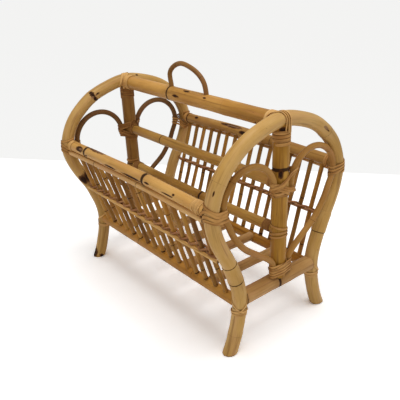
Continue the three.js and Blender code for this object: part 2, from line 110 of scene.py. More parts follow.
class Finish:
    """A material: its Principled shader and the nodes that feed it."""

    def __init__(self, name, **constants):
        self.material = bpy.data.materials.new(name)
        self.material.use_nodes = True
        self.tree = self.material.node_tree
        self.shader = self.tree.nodes["Principled BSDF"]
        for socket, value in constants.items():
            self.shader.inputs[socket.replace("_", " ")].default_value = value

    def node(self, kind, sockets=(), **settings):
        node = self.tree.nodes.new("ShaderNode" + kind)
        for setting, value in settings.items():
            setattr(node, setting, value)
        for socket, value in dict(sockets).items():
            self.feed(node.inputs[socket], value)
        return node

    def feed(self, socket, value):
        if isinstance(value, Level):
            self.tree.links.new(value.socket, socket)
        elif isinstance(value, bpy.types.NodeSocket):
            self.tree.links.new(value, socket)
        else:
            socket.default_value = value

    def level(self, kind, sockets, **settings):
        """The number that a new node gives."""
        return Level(self, self.node(kind, sockets, **settings).outputs[0])

    def attribute(self, name):
        return Level(self, self.node("Attribute", attribute_name=name).outputs["Fac"])

    def grain(self, stretch, scale, detail, rough=0.5):
        """Noise on a cane, from 0 to 1, drawn out along its length where stretch is small."""
        grown = self.node("Attribute", attribute_name="grown").outputs["Vector"]
        drawn = self.node("Mapping", {"Vector": grown, "Scale": (1, 1, stretch)})
        sockets = {"Vector": drawn.outputs[0], "Scale": scale, "Detail": detail, "Roughness": rough}
        return self.level("TexNoise", sockets)

    def step(self, level, low, high):
        """0 below low and 1 above high, with a smooth rise between."""
        sockets = {"Value": level, "From Min": low, "From Max": high}
        return self.level("MapRange", sockets, interpolation_type="SMOOTHSTEP")

    def blend(self, share, first, second):
        return self.node("Mix", {0: share, 6: first, 7: second}, data_type="RGBA").outputs[2]

    def tinted(self, tone, *tints):
        """A screen colour with others laid over it in turn, each by its own share."""
        tone = colour(*tone)
        for share, tint in tints:
            tone = self.blend(share, tone, colour(*tint))
        return tone

    def coat(self, tone, roughness, height, depth, strength):
        """Feed the shader its colour, its roughness and the relief of its surface."""
        self.feed(self.shader.inputs["Base Color"], tone)
        self.feed(self.shader.inputs["Roughness"], roughness)
        relief = self.node("Bump", {"Height": height, "Distance": depth, "Strength": strength})
        self.feed(self.shader.inputs["Normal"], relief.outputs[0])
        return self.material


def bark(name, pale, golden, olive, brown, roughness=0.42, varied=0.15):
    """Rattan with its glossy bark on. The pattern follows the cane as it grew, before it was bent."""
    wood = Finish(name, Specular_IOR_Level=0.14)
    step = wood.step
    fibre = wood.grain(0.03, 1100, 2)
    streak = wood.grain(0.05, 260, 3)
    blush = wood.grain(0.1, 120, 3)
    cloud = wood.grain(0.35, 42, 4, 0.6)
    length = wood.grain(0.3, 13, 2)
    speck = wood.grain(0.35, 330, 3, 0.65)
    ragged = (speck - 0.5) * 1.1
    # Ring lines: dark joints, plus painted shadow lines under sleeve edges and bindings.
    ring = step(wood.attribute("ring") + ragged * 0.4, 0.3, 0.62)
    stain = wood.attribute("stain")
    # The stain marks are scorched and burnt bark, and on the right post they are painted shadow in hollows.
    dark = step(stain + ragged * 0.8, 0.0, 0.3)
    core = step(stain + ragged * 0.5, 0.3, 0.6)
    bare = step(wood.attribute("scar") + ragged * 0.7, 0.0, 0.16)
    rosy = (pale[0] - 12, pale[1] - 20, pale[2] - 2)
    tone = wood.tinted(
        pale,
        (step(cloud, 0.32, 0.7), golden),
        (step(length, 0.42, 0.68) * 0.75, olive),
        (step(blush, 0.5, 0.7) * 0.45, rosy),
        (step(streak, 0.5, 0.76) * 0.5, brown),
        (step(1 - streak, 0.54, 0.76) * 0.45, pale),
        (step(fibre, 0.5, 0.85) * 0.25, brown),
        (step(speck, 0.66, 0.76) * 0.5, brown),
        (wood.attribute("shade") * varied, brown),
        (wood.attribute("halo") * step(cloud, 0.3, 0.6) * 0.5, brown),
        (ring * 0.95, ring_tone),
        (dark * 0.92, scorch_and_shadow_tone),
        (core * 0.92, burn_and_shadow_tone),
        (bare * 0.85, bare_tone),
    )
    worn = roughness + (cloud - 0.5) * 0.25 + dark * 0.4 + bare * 0.25 + ring * 0.4
    relief = fibre * 0.45 + streak * 0.8 + speck * 0.3 - ring - dark * 0.8 - bare
    return wood.coat(tone, worn, relief, 0.5 * mm, 0.5)


def end_grain():
    """The sawn end of a cane: pale, and full of the open ends of its long pores."""
    wood = Finish("cane_end_grain")
    place = wood.node("TexCoord").outputs["Object"]
    hollow = 1 - wood.step(wood.level("TexVoronoi", {"Vector": place, "Scale": 1500}), 0.15, 0.45)
    dust = wood.level("TexNoise", {"Vector": place, "Scale": 240})
    tone = wood.tinted(
        (176, 140, 92), (wood.step(dust, 0.35, 0.7), (132, 98, 60)), (hollow * 0.7, (74, 48, 28)),
    )
    return wood.coat(tone, 0.75 + dust * 0.2, dust - hollow, 0.3 * mm, 0.6)


def through(points, steps):
    """A smooth line through the points, with as many steps between each two."""
    line = []
    padded = [2 * points[0] - points[1], *points, 2 * points[-1] - points[-2]]
    for before, start, end, after in zip(padded, padded[1:], padded[2:], padded[3:]):
        first = max((start - before).length, 0.01 * mm) ** 0.5
        middle = max((end - start).length, 0.01 * mm) ** 0.5
        last = max((after - end).length, 0.01 * mm) ** 0.5
        leaving = (start - before) / first - (end - before) / (first + middle) + (end - start) / middle
        coming = (end - start) / middle - (after - start) / (middle + last) + (after - end) / last
        handles = start + leaving * middle / 3, end - coming * middle / 3
        line += interpolate_bezier(start, *handles, end, steps + 1)[:-1]
    return [*line, points[-1]]


def reaches(line):
    """How far along the line each of its points is."""
    return list(accumulate(((end - start).length for start, end in zip(line, line[1:])), initial=0))


def heading(line, index):
    """The way that the line goes at one of its points."""
    return (line[min(index + 1, len(line) - 1)] - line[max(index - 1, 0)]).normalized()


class Bend:
    """The middle line of a cane, with a frame that goes along it without twist."""

    def __init__(self, line, side):
        self.line = line
        self.reach = reaches(line)
        self.length = self.reach[-1]
        self.sides = []
        self.ways = []
        for index in range(len(line)):
            way = heading(line, index)
            side = (side - way * side.dot(way)).normalized()
            self.ways.append(way)
            self.sides.append(side)

    def frame_at(self, along):
        """The place and the two directions across, so far along."""
        index = min(max(bisect_right(self.reach, along), 1), len(self.line) - 1)
        share = (along - self.reach[index - 1]) / (self.reach[index] - self.reach[index - 1])
        way = self.ways[index - 1].lerp(self.ways[index], share).normalized()
        side = self.sides[index - 1].lerp(self.sides[index], share)
        side = (side - way * side.dot(way)).normalized()
        return self.line[index - 1].lerp(self.line[index], share), side, way.cross(side)

    def spot(self, place):
        """How far along and how far round a place on the bark is."""
        index = min(range(len(self.line)), key=lambda i: (self.line[i] - place).length)
        way, side = self.ways[index], self.sides[index]
        away = place - self.line[index]
        return self.reach[index] + away.dot(way), atan2(away.dot(way.cross(side)), away.dot(side))


def here(x, y, z):
    """A place given in millimetres."""
    return Vector((x, y, z)) * mm


def marks(*spots):
    """Marks on bark, each a place in millimetres and how dark a ring is, or how long and wide a spot."""
    return [(here(*spot[:3]), *spot[3:]) for spot in spots]


bench = {}
seed_step = 7.31
shade_step = 0.618
grain_shift = 3.1
uneven_share = 0.02
uneven_pace = 28
ring_swell_share = 0.035
ring_swell_reach = 6 * mm
ring_groove = 0.35 * mm
ring_reach = 0.7 * mm
reach_least = 0.7
reach_gain = 3.1
dark_least = 0.3
dark_gain = 1.2
ring_fade = 1.6
ring_tilt = 0.6 * mm
ring_tilt_pace = 90
ring_steps = [0, 0.25, 0.5, 0.8, 1.15, 1.6, 2.2, 3, 4.5, 6.5, 9]
halo_reach = 8 * mm
sleeve_edge = 0.5 * mm
sleeve_line = 0.4 * mm
sleeve_line_reach = 1.3 * mm
sleeve_foot_shadow = 0.9
station_gap = 0.15 * mm
cane_end = end_grain()


def stations(length, spacing, edges):
    """How far along the cane its cross-sections lie: closer together beside a ring or an edge."""
    count = max(round(length / spacing), 2)
    places = [length * i / count for i in range(count + 1)]
    for along in edges:
        for step in ring_steps:
            places += [along - step * mm, along + step * mm]
    kept = [0]
    for place in sorted(p for p in places if 0 < p < length):
        if place - kept[-1] > station_gap and length - place > station_gap:
            kept.append(place)
    return [*kept, length]


def inside(along, angle, radius, spots):
    """How deep inside the nearest of some spots a place is: 1 in the middle, 0 on the rim."""
    best = -1
    for at, turned, length, width in spots:
        round_by = (angle - turned + pi) % tau - pi
        best = max(best, 1 - hypot((along - at) / length * 2, round_by * radius / width * 2))
    return best


def rod(sides, sections, *layers):
    """A straight rod of unit size, to be bent and shaped, with its layers of values."""
    bm = bmesh.new()
    for layer in layers:
        bm.verts.layers.float.new(layer)
    bm.verts.layers.float_vector.new("grown")
    bmesh.ops.create_cone(bm, cap_ends=True, segments=sides, radius1=1, radius2=1, depth=2)
    lengthwise = [edge for edge in bm.edges if abs(edge.verts[0].co.z - edge.verts[1].co.z) > 1]
    bmesh.ops.subdivide_edges(bm, edges=lengthwise, cuts=sections - 2, use_grid_fill=True)
    return bm, bm.verts.layers.float_vector["grown"], *(bm.verts.layers.float[layer] for layer in layers)


def grow(bend, diameter, rings=(), stains=(), scars=(), sleeves=(), spacing=2.5 * mm, sides=24):
    """A straight length of cane, bent to its line: the bmesh, ready to be cut to shape."""
    def spots(found):
        return [(*bend.spot(place), length * mm, width * mm) for place, length, width in found]

    seed = len(bench) * seed_step
    darker = len(bench) * shade_step % 1
    stain_and_shadow_spots = spots(stains)
    scar_spots = spots(scars)
    joint_and_shadow_rings = [(bend.spot(place)[0], dark) for place, dark in rings]
    wraps = [(bend.spot(top)[0], bend.spot(foot)[0], rise * mm, dark) for top, foot, rise, dark in sleeves]
    edges = [at for at, _ in joint_and_shadow_rings] + [end for wrap in wraps for end in wrap[:2]]
    places = stations(bend.length, spacing, edges)
    kinds = ("ring", "halo", "stain", "scar", "shade")
    bm, grown, ring, halo, stain, scar, shade = rod(sides, len(places), *kinds)
    frames = [bend.frame_at(along) for along in places]
    for vert in bm.verts:
        index = round((vert.co.z + 1) / 2 * (len(places) - 1))
        along = places[index]
        centre, side, other = frames[index]
        angle = atan2(vert.co.y, vert.co.x)
        across, over = cos(angle), sin(angle)
        uneven = noise.noise(Vector((across, over, along * uneven_pace + seed)))
        radius = diameter / 2 * (1 + uneven_share * uneven)
        line, glow = 0, 0
        # Dark rings at the joints, and painted shadow rings set in the same way.
        for at, dark in joint_and_shadow_rings:
            off = abs(along - at - ring_tilt * cos(angle + seed + at * ring_tilt_pace))
            reach = ring_reach * (reach_least + reach_gain * dark)
            radius += diameter / 2 * ring_swell_share * exp(-(off / ring_swell_reach) ** 2)
            radius -= ring_groove * dark * exp(-(off / reach) ** 2)
            darkest = min(dark_gain * dark + dark_least, 1)
            line = max(line, darkest * max(0, 1 - off / (ring_fade * reach)))
            glow = max(glow, dark * exp(-off / halo_reach))
        for top, bottom, rise, top_dark in wraps:
            depth = min(along - min(top, bottom), max(top, bottom) - along)
            radius += rise * min(max(depth / sleeve_edge, 0), 1)
            # The dark line at a sleeve's lower edge is painted shadow under its step.
            dark = top_dark if abs(along - top) < abs(along - bottom) else sleeve_foot_shadow
            line = max(line, dark * max(0, 1 - abs(depth + sleeve_line) / sleeve_line_reach))
        vert.co = centre + (side * across + other * over) * radius
        vert[grown] = (across * radius, over * radius, along + seed % grain_shift)
        vert[ring] = line
        vert[halo] = glow
        # Stain spots: scorched bark, and painted shadow in hollows.
        vert[stain] = inside(along, angle, radius, stain_and_shadow_spots)
        vert[scar] = inside(along, angle, radius, scar_spots)
        vert[shade] = darker
    for face in bm.faces:
        face.smooth = len(face.verts) == 4
        face.material_index = 0 if face.smooth else 1
    for edge in bm.edges:
        edge.smooth = all(face.smooth for face in edge.link_faces)
    return bm


def stand(name, data):
    """A new object in the scene."""
    thing = bpy.data.objects.new(name, data)
    bpy.context.scene.collection.objects.link(thing)
    return thing


def set_in(name, bm, materials, slot, node):
    """The finished piece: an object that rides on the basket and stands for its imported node."""
    mesh = bpy.data.meshes.new(name)
    bm.to_mesh(mesh)
    bench[name] = BVHTree.FromBMesh(bm)
    bm.free()
    for material in materials:
        mesh.materials.append(material)
    piece = stand(name, mesh)
    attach(piece, "root")
    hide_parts(node)


hoop_side = [(across * hoop_half_width, up * hoop_height) for across, up in hoop_shares]
spread_from = 150 * mm
spread_over = 80 * mm


def hoop_line(x, spread=0.0):
    """The line of a bent hoop. Its shoulders may have sprung in or out by a share."""
    points = [Vector((x, -y, z)) for y, z in hoop_side[:0:-1]] + [Vector((x, y, z)) for y, z in hoop_side]
    line = through(points, hoop_steps)
    for _ in range(hoop_ease_rounds):
        eased = [(before + after) / 2 for before, after in zip(line, line[2:])]
        line = [line[0], *eased, line[-1]]
    for place in line:
        place.y *= 1 + spread * min(max((place.z - spread_from) / spread_over, 0), 1)
    return line


true_hoop_line = hoop_line(half_length)


def hoop_out_at(height):
    """How far from the middle a true hoop's line is at a height, on the outside."""
    steps = zip(true_hoop_line, true_hoop_line[1:])
    return max(a.y for a, b in steps if (a.z - height) * (b.z - height) <= 0)


def hoop(name, x, spread, **details):
    """One end hoop, with its feet sawn off level on the floor."""
    bend = Bend(hoop_line(x, spread), Vector((1, 0, 0)))
    bm = grow(bend, hoop_diameter, spacing=1.7 * mm, sides=44, **details)
    everything = [*bm.verts, *bm.edges, *bm.faces]
    cut = bmesh.ops.bisect_plane(bm, geom=everything, plane_co=(0, 0, 0), plane_no=(0, 0, -1),
                                 clear_outer=True)
    rims = [part for part in cut["geom_cut"] if isinstance(part, bmesh.types.BMEdge)]
    for sole in bmesh.ops.holes_fill(bm, edges=rims, sides=0)["faces"]:
        sole.material_index = 1
        sole.smooth = False
    bmesh.ops.bevel(bm, geom=rims, offset=foot_rounding, segments=3, profile=0.5, affect="EDGES",
                    material=-1)
    set_in(name + "_hoop_cane", bm, [hoop_bark, cane_end], "pale_cane", name + "_end_hoop")


hoop_bark = bark("hoop_bark", (208, 167, 102), (192, 148, 78), (166, 127, 63), (112, 71, 29))
hoop(
    "right", half_length, -0.019,
    # The first ring, at 125 mm, is painted shadow under the lower edge of the upper sleeve.
    rings=marks((200, -81, 125, 0.45), (200, -127, 290, 0.12), (200, 96, 309, 0.2), (200, -92, 30, 0.15)),
    stains=marks((210, 88, 312, 12, 3), (207, -38.3, 325.4, 4, 3), (206.4, -130.7, 274.4, 10, 3)),
    scars=marks((211, 84, 316, 15, 5)),
    sleeves=[
        (here(200, -87, 160), here(200, -81.5, 126), 0.7, 0.8),
        (here(200, -81, 124.5), here(200, -84, 76), 0.3, 0.8),
        (here(200, 93, 178), here(200, 84, 143), 0.9, 0.3),
    ],
)
hoop(
    "left", -half_length, 0.027,
    rings=marks((-200, -79, 327, 0.15), (-200, 118, 285, 0.2), (-200, 84, 120, 0.15)),
    stains=marks(
        (-193, -82, 336, 8, 7), (-190, -80, 332, 12, 5), (-189.5, -78, 328, 9, 10), (-190, -75, 322, 9, 11),
        (-192, -70, 318, 7, 10), (-190, -69, 330, 12, 4), (-190.5, -109, 178, 33, 25),
        (-193, -117, 174, 27, 20), (-205, -110, 8, 34, 26), (-190, -101, 3, 9, 11), (-193, 20, 350, 6, 5),
    ),
    scars=marks((-190, -80, 325, 7, 4), (-189.5, -72, 328, 5, 3)),
)


# Centre posts
# A straight cane stands on each bottom end rail and is nailed up into the hoop's crown. Its bark is
# darker and greener than the hoop's.

post_diameter = 24.1 * mm
post_foot = 96 * mm
post_head = 340 * mm
straight_bow = 0.7 * mm
straight_steps = 8
wander_pace = 4
wander_seed = 3.7
wander_layers = (0.5, 5.3, 9.1)
both_ends = (("right", 1), ("left", -1))


def straight(start, end, bow=straight_bow, rise=0.0):
    """A nearly straight line, since a cane is never quite true. Its middle may rise or sag."""
    seed = len(bench) * wander_seed
    points = []
    for step in range(straight_steps + 1):
        share = step / straight_steps
        stray = [noise.noise(Vector((share * wander_pace, seed, layer))) for layer in wander_layers]
        wander = Vector(stray) * bow + Vector((0, 0, rise))
        points.append(start.lerp(end, share) + wander * sin(pi * share))
    upright = abs(end.z - start.z) > (end - start).length / 2
    return Bend(through(points, straight_steps), Vector((1, 0, 0)) if upright else Vector((0, 0, 1)))


def cane(name, node, slot, material, bend, diameter, rim=0.5 * mm, **details):
    """One cane with its sawn ends eased, set in its place."""
    bm = grow(bend, diameter, **details)
    rims = [edge for edge in bm.edges if not edge.smooth]
    bmesh.ops.bevel(bm, geom=rims, offset=rim, segments=2, profile=0.5, affect="EDGES", material=-1)
    set_in(name, bm, [material, cane_end], slot, node)


pale_post_bark = bark("pale_post_bark", (194, 144, 60), (174, 122, 38), (146, 101, 28), (94, 54, 14))
# The left post gets a darker copy of the post bark. This is painted shade, since it stands deep in shadow
# at the far end.
post_bark_painted_shade = bark("post_bark_painted_shade", (162, 118, 58), (140, 96, 40), (116, 78, 28), (78, 46, 16))
for name, end, post_bark, rings, stains in (
    # On the right post, the ring at 274 mm and the two spots just below it are painted shadow at the top of
    # the middle binding. The spot at 332 mm is painted shadow in the hollow under the crown.
    ("right", 1, pale_post_bark, marks((200, 0, 196, 0.1), (200, 0, 274, 1.25)),
     marks((208.1, -8.5, 268, 17, 9), (210.5, 5, 272, 9, 7), (209, -7, 332, 12, 16))),
    ("left", -1, post_bark_painted_shade, marks((-200, 0, 178, 0.4)), marks((-192, -8.5, 331, 8, 9))),
):
    foot = Vector((end * half_length, 0, post_foot))
    head = Vector((end * half_length, 0, post_head))
    cane(name + "_post_cane", name + "_centre_post", "golden_cane", post_bark, straight(foot, head),
         post_diameter, spacing=1.8 * mm, sides=36, rings=rings, stains=stains)


# Bottom end rails
# The thickest cane of the frame runs between the two legs of each hoop and carries the post. It is
# coped against the legs and nailed through them.

end_diameter = 24.8 * mm
end_height = 88 * mm
end_ring = -6 * mm
end_rail_bark = bark("end_rail_bark", (198, 154, 96), (178, 132, 75), (152, 112, 59), (102, 63, 30))


def crosswise(x, reach, height):
    """The line of a cane that runs from the front to the back of the basket."""
    return straight(Vector((x, -reach, height)), Vector((x, reach, height)))


for name, end in both_ends:
    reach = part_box(name + "_bottom_end_rail")[1].y
    cane(name + "_bottom_end_cane", name + "_bottom_end_rail", "golden_cane", end_rail_bark,
         crosswise(end * half_length, reach, end_height), end_diameter, sides=28,
         rings=[(Vector((end * half_length, end_ring, end_height)), 1)])


# End loops
# Two thin canes fill each end, on the outer side of the hoop's middle line. One end starts beside the
# post, bends over in an arch and sweeps down along the hoop and back to the post's foot: a heart.

loop_diameter = 9.5 * mm
loop_height = 242.93 * mm
loop_head = 237 * mm
loop_foot = 100.6 * mm
loop_place = half_length + 5 * mm
loop_arch_steps = 8
loop_shares = [
    (0.975, 0.93), (0.908, 0.832), (0.812, 0.691), (0.613, 0.509), (0.348, 0.368), (0.09, 0.236),
    (0.01, 0.17), (0, 0.09), (0, 0),
]
loop_inner = 16.3 * mm
loop_outer = 114 * mm
loop_head_turn = Vector((4.3, -2.2, 0)) * mm
loop_rings = ((0.098, 0.28), (0.07, 0.168))
both_sides = (("front", -1), ("back", 1))


def loop_points():
    """How far out and how high the back loop's line goes, from its head to its foot."""
    width = loop_outer - loop_inner
    points = [(loop_inner, loop_head)]
    for step in range(loop_arch_steps + 1):
        angle = pi * (1 - step / loop_arch_steps)
        out = loop_inner + width / 2 * (1 + cos(angle))
        points.append((out, loop_height + width / 2 * sin(angle)))
    for across, up in loop_shares:
        points.append((loop_inner + across * width, loop_foot + up * (loop_height - loop_foot)))
    return points


loop_barks = {
    "right": bark("pale_loop_bark", (186, 138, 72), (166, 117, 54), (138, 96, 40), (94, 57, 24), 0.48),
    # The left loops get a darker copy of the loop bark. This is painted shade, since they stand in shadow
    # at the far end.
    "left": bark("loop_bark_painted_shade", (142, 102, 58), (120, 84, 42), (96, 64, 28), (66, 40, 18), 0.48),
}
for name, end in both_ends:
    x = end * loop_place
    for side, towards in both_sides:
        points = [Vector((x, towards * y, z)) for y, z in loop_points()]
        points[0] += Vector((end * loop_head_turn.x, towards * loop_head_turn.y, 0))
        cane(f"{name}_{side}_loop_cane", f"{name}_{side}_loop", "thin_cane", loop_barks[name],
             Bend(through(points, 10), Vector((1, 0, 0))), loop_diameter, sides=20,
             rings=[(Vector((x, towards * out, height)), 0.2) for out, height in loop_rings])


# Top rail
# The thickest cane between the ends, from crown to crown, nailed through both hoops. A ring and
# scorched streaks mark it near the handle.

top_diameter = 24.5 * mm
top_height = 340.5 * mm
top_reach = 192 * mm
top_rail_bark = bark("top_rail_bark", (207, 155, 78), (187, 133, 58), (158, 110, 44), (106, 62, 22))


def endwise(reach, y, height, bow=straight_bow, rise=0.0):
    """The line of a cane that runs from end to end of the basket."""
    return straight(Vector((-reach, y, height)), Vector((reach, y, height)), bow, rise)


cane(
    "top_rail_cane", "top_rail", "pale_cane", top_rail_bark, endwise(top_reach, 0, top_height),
    top_diameter, spacing=1.7 * mm, sides=44,
    rings=marks((-53, 0, 340, 0.7), (86, 0, 340, 0.12)),
    stains=marks(
        (-27.4, -11.6, 341.8, 24, 5), (-5.8, -4.8, 351.5, 24, 5), (44, -8, 349, 10, 4),
        (158.8, -9.8, 333.2, 5, 4),
    ),
)


# Handle loop
# A thin cane, bent while soft and pushed into two holes in the top rail. It leans a little to one side.

handle_diameter = 8 * mm
handle_span = 92 * mm
handle_rise = 41 * mm
handle_middle = -7 * mm
handle_seat = 9 * mm
handle_shares = [
    (-0.5, 0), (-0.532, 0.518), (-0.424, 0.8), (-0.192, 1), (0.095, 0.909), (0.328, 0.677), (0.451, 0.396),
    (0.5, 0),
]
handle_rest = top_height + top_diameter / 2
handle_line = [
    Vector((handle_middle + along * handle_span, 0, handle_rest + up * handle_rise))
    for along, up in handle_shares
]
handle_ends = [Vector((end.x, 0, handle_rest - handle_seat)) for end in (handle_line[0], handle_line[-1])]
handle_line = through([handle_ends[0], *handle_line, handle_ends[1]], 12)
handle_bark = bark("handle_bark", (156, 112, 58), (134, 92, 42), (108, 72, 30), (76, 45, 18), 0.48)
cane(
    "handle_cane", "handle_loop", "thin_cane", handle_bark, Bend(handle_line, Vector((0, 1, 0))),
    handle_diameter, sides=20, rings=marks((-33, 0, 388, 0.2), (28, 0, 378, 0.2)),
)


# Middle and lower centre rails
# Two thinner canes run from post to post under the top rail and divide the basket into two pockets.

middle_height = 248.93 * mm
lower_height = 174.47 * mm
centre_bow = 1.2 * mm
centre_reach = half_length - post_diameter / 2 + 4 * mm
centre_bark = bark("centre_rail_bark", (198, 152, 76), (178, 130, 52), (148, 104, 38), (102, 62, 20))
for name, node, height, diameter, sag, ring, dark in (
    ("middle_rail_cane", "middle_rail", middle_height, 17.2, 0.6, -88, 0.4),
    ("lower_rail_cane", "lower_centre_rail", lower_height, 16.4, 3.2, 19, 1),
):
    cane(name, node, "golden_cane", centre_bark,
         endwise(centre_reach, 0, height, centre_bow, -sag * mm), diameter * mm,
         rings=[(Vector((ring * mm, 0, height)), dark)])


# Side rails
# An upper and a bottom cane on each side, nailed through the hoops, with a row of holes for the slats.
# The front upper rail has a knot, two dark joints, a peeled patch and scorched streaks.

upper_diameter = 18 * mm
upper_height = 245.93 * mm
bottom_diameter = 18 * mm
bottom_height = 80 * mm
side_reach = 193 * mm
upper_out = hoop_out_at(upper_height)
bottom_out = hoop_out_at(bottom_height)
upper_rise = 3.5 * mm
back_rise = 4.2 * mm
back_diameter = 19 * mm
upper_marks = {
    "front": {
        "rings": marks((-128, -133, 246, 1.5), (52, -133, 246, 1.5)),
        "stains": marks(
            (-145, -139.2, 251.3, 31, 13), (-120, -141.8, 245.5, 9, 4), (-40, -141.5, 246.8, 46, 5),
            (24, -141.5, 247, 68, 6), (66, -141.5, 250.2, 17, 4), (117, -141, 248, 36, 3.2),
            (131, -139.5, 251.5, 6.5, 4.5), (-98, -131.4, 255.8, 64, 9.5),
        ),
        "scars": marks((-92, -131.4, 255.8, 44, 4.5), (-142, -139, 251.5, 12, 4.5)),
    },
    "back": {
        "rings": marks((-177, 133, 246, 0.5), (60, 133, 246, 0.3)),
        "stains": marks((-147, 127, 253, 13, 7), (-44, 128, 257, 66, 10), (-8, 124.5, 252, 26, 9)),
        "scars": marks((-38, 128, 257, 40, 3), (-52, 126, 255.5, 14, 2)),
    },
}
bottom_marks = {
    "front": {
        "rings": marks((-60, -80, 80, 0.25), (94, -80, 80, 0.2)),
        "stains": marks((-105, -88, 76, 9, 6), (20, -88, 77, 10, 5), (96, -88, 75, 9, 5)),
    },
    "back": {"rings": marks((-100, 80, 80, 0.3), (70, 80, 80, 0.3))},
}
front_rail_bark = bark("front_rail_bark", (221, 172, 98), (205, 152, 76), (173, 126, 58), (118, 72, 28))
back_rail_bark = bark("back_rail_bark", (190, 144, 76), (168, 119, 52), (140, 98, 40), (96, 59, 20))
front_bottom_bark = bark("front_bottom_bark", (192, 140, 64), (172, 116, 42), (146, 96, 32), (98, 57, 18))
back_bottom_bark = bark("back_bottom_bark", (178, 124, 44), (156, 100, 28), (128, 82, 22), (86, 48, 12))
for side, towards, upper_bark, bottom_bark, diameter, rise in (
    ("front", -1, front_rail_bark, front_bottom_bark, upper_diameter, upper_rise),
    ("back", 1, back_rail_bark, back_bottom_bark, back_diameter, back_rise),
):
    cane(side + "_upper_cane", side + "_upper_rail", "pale_cane", upper_bark,
         endwise(side_reach, towards * upper_out, upper_height, straight_bow, rise),
         diameter, spacing=1.5 * mm, sides=44, **upper_marks[side])
    cane(side + "_bottom_cane", side + "_bottom_rail", "golden_cane", bottom_bark,
         endwise(side_reach, towards * bottom_out, bottom_height),
         bottom_diameter, spacing=2 * mm, sides=32, **bottom_marks[side])


# Floor crossbars
# Short canes lie across the bottom, nailed between the two bottom side rails.

crossbar_diameter = 16 * mm
crossbar_height = 84 * mm
crossbar_spacing = 65 * mm
crossbar_count = 5
crossbar_reach = bottom_out - bottom_diameter / 2 + 3 * mm
for index in range(crossbar_count):
    x = (index - (crossbar_count - 1) / 2) * crossbar_spacing
    cane(f"floor_crossbar_cane_{index + 1}", f"floor_crossbar_{index + 1}", "golden_cane", end_rail_bark,
         crosswise(x, crossbar_reach, crossbar_height), crossbar_diameter,
         rings=[(Vector((x, (index * 31 % 60 - 30) * mm, crossbar_height)), 0.3)])


# Slats
# Sixteen thin canes a side, each pushed into a hole in the upper rail and one in the bottom rail.

slat_diameter = 7.4 * mm
slat_pitch = 23 * mm
slat_count = 16
slat_seat = 7 * mm
slat_bow = 1.2 * mm
side_foot = Vector((0, -bottom_out, bottom_height))
side_head = Vector((0, -upper_out, upper_height))
side_lean = Vector((0, bottom_out - upper_out, side_head.z - side_foot.z)).normalized()
slat_bark = bark("slat_bark", (208, 156, 76), (172, 116, 42), (128, 80, 26), (74, 40, 12), 0.5, 0.62)


def on_side(place, towards):
    """A place on the front woven side, or the same place on the back one."""
    return Vector((-place.x, -place.y, place.z)) if towards > 0 else place


for side, towards in both_sides:
    for index in range(slat_count):
        x = Vector(((index - (slat_count - 1) / 2) * slat_pitch, 0, 0))
        foot = side_foot + side_lean * (bottom_diameter / 2 - slat_seat) + x
        head = side_head - side_lean * (upper_diameter / 2 - slat_seat) + x
        joint = on_side(foot.lerp(head, 0.15 + 0.7 * (index * shade_step % 1)), towards)
        low_joint = on_side(foot + side_lean * (slat_seat + 3 * mm), towards)
        cane(f"{side}_slat_{index + 1}", f"{side}_woven_side", "slat_cane", slat_bark,
             straight(on_side(foot, towards), on_side(head, towards), slat_bow), slat_diameter,
             spacing=4 * mm, sides=14, rings=[(joint, 0.35), (low_joint, 0.1 + index * 0.37 % 0.5)])


# Twining strands
# Two thin splits of cane a side pass in front of and behind the slats and cross between them, half
# way up, so that the slats keep their distance. A thin runner lies along their outer side.

strand_diameter = 3.7 * mm
strand_bite = 0.5 * mm
strand_gap = 0.3 * mm
strand_lift = 0.8 * mm
strand_stray = 2.6 * mm
stray_pace = 0.7
stray_apart = 5
stray_layer = 0.5
scorch_first = 12
scorch_shift = 9
scorch_every = 41
runner_diameter = 5.4 * mm
runner_drop = 2.8 * mm
runner_bow = 1 * mm
strand_end = half_length - hoop_diameter / 2
side_out = Vector((0, -side_lean.z, side_lean.y))
strand_swing = (slat_diameter + strand_diameter) / 2 - strand_bite
strand_twist = strand_diameter / 2 + strand_gap


def strand_line(way, towards):
    """Over one slat and under the next, a twist at each gap."""
    middle = side_foot.lerp(side_head, 0.5) + side_lean * strand_lift
    points = [middle + side_lean * strand_twist * way - Vector((strand_end, 0, 0))]
    for step in range(2 * slat_count - 1):
        x = Vector(((step / 2 - (slat_count - 1) / 2) * slat_pitch, 0, 0))
        swing = side_out * strand_swing * way * cos(step * pi / 2)
        twist = side_lean * strand_twist * way * sin(step * pi / 2)
        uneven = noise.noise(Vector((step * stray_pace, towards * stray_apart, stray_layer)))
        points.append(middle + x + swing + twist + side_lean * strand_stray * uneven)
    points.append(middle + side_lean * strand_twist * way + Vector((strand_end, 0, 0)))
    return Bend(through([on_side(point, towards) for point in points], 8), Vector((0, 0, 1)))


strand_bark = bark("strand_bark", (190, 138, 92), (160, 110, 70), (120, 76, 42), (78, 44, 22), 0.55)
runner_bark = bark("runner_bark", (230, 184, 114), (208, 158, 86), (172, 124, 62), (118, 74, 34), 0.5)
for side, towards in both_sides:
    for number, way in ((1, 1), (2, -1)):
        strand = strand_line(way, towards)
        scorched = strand.line[scorch_first + scorch_shift * number::scorch_every]
        cane(f"{side}_strand_{number}", f"{side}_woven_side", "slat_cane", strand_bark, strand,
             strand_diameter, rim=0.2 * mm, stains=[(place, 6, 3) for place in scorched],
             spacing=2 * mm, sides=10)
    line = side_foot.lerp(side_head, 0.5) - side_lean * runner_drop
    line += side_out * (slat_diameter + runner_diameter) / 2
    reach = Vector((strand_end, 0, 0))
    cane(f"{side}_runner", f"{side}_woven_side", "slat_cane", runner_bark,
         straight(on_side(line - reach, towards), on_side(line + reach, towards), runner_bow),
         runner_diameter, rim=0.2 * mm, spacing=3 * mm, sides=12)


# Edge canes
# A thin cane lies along the outside of the slats, close under each upper rail, and ends at the hoops.

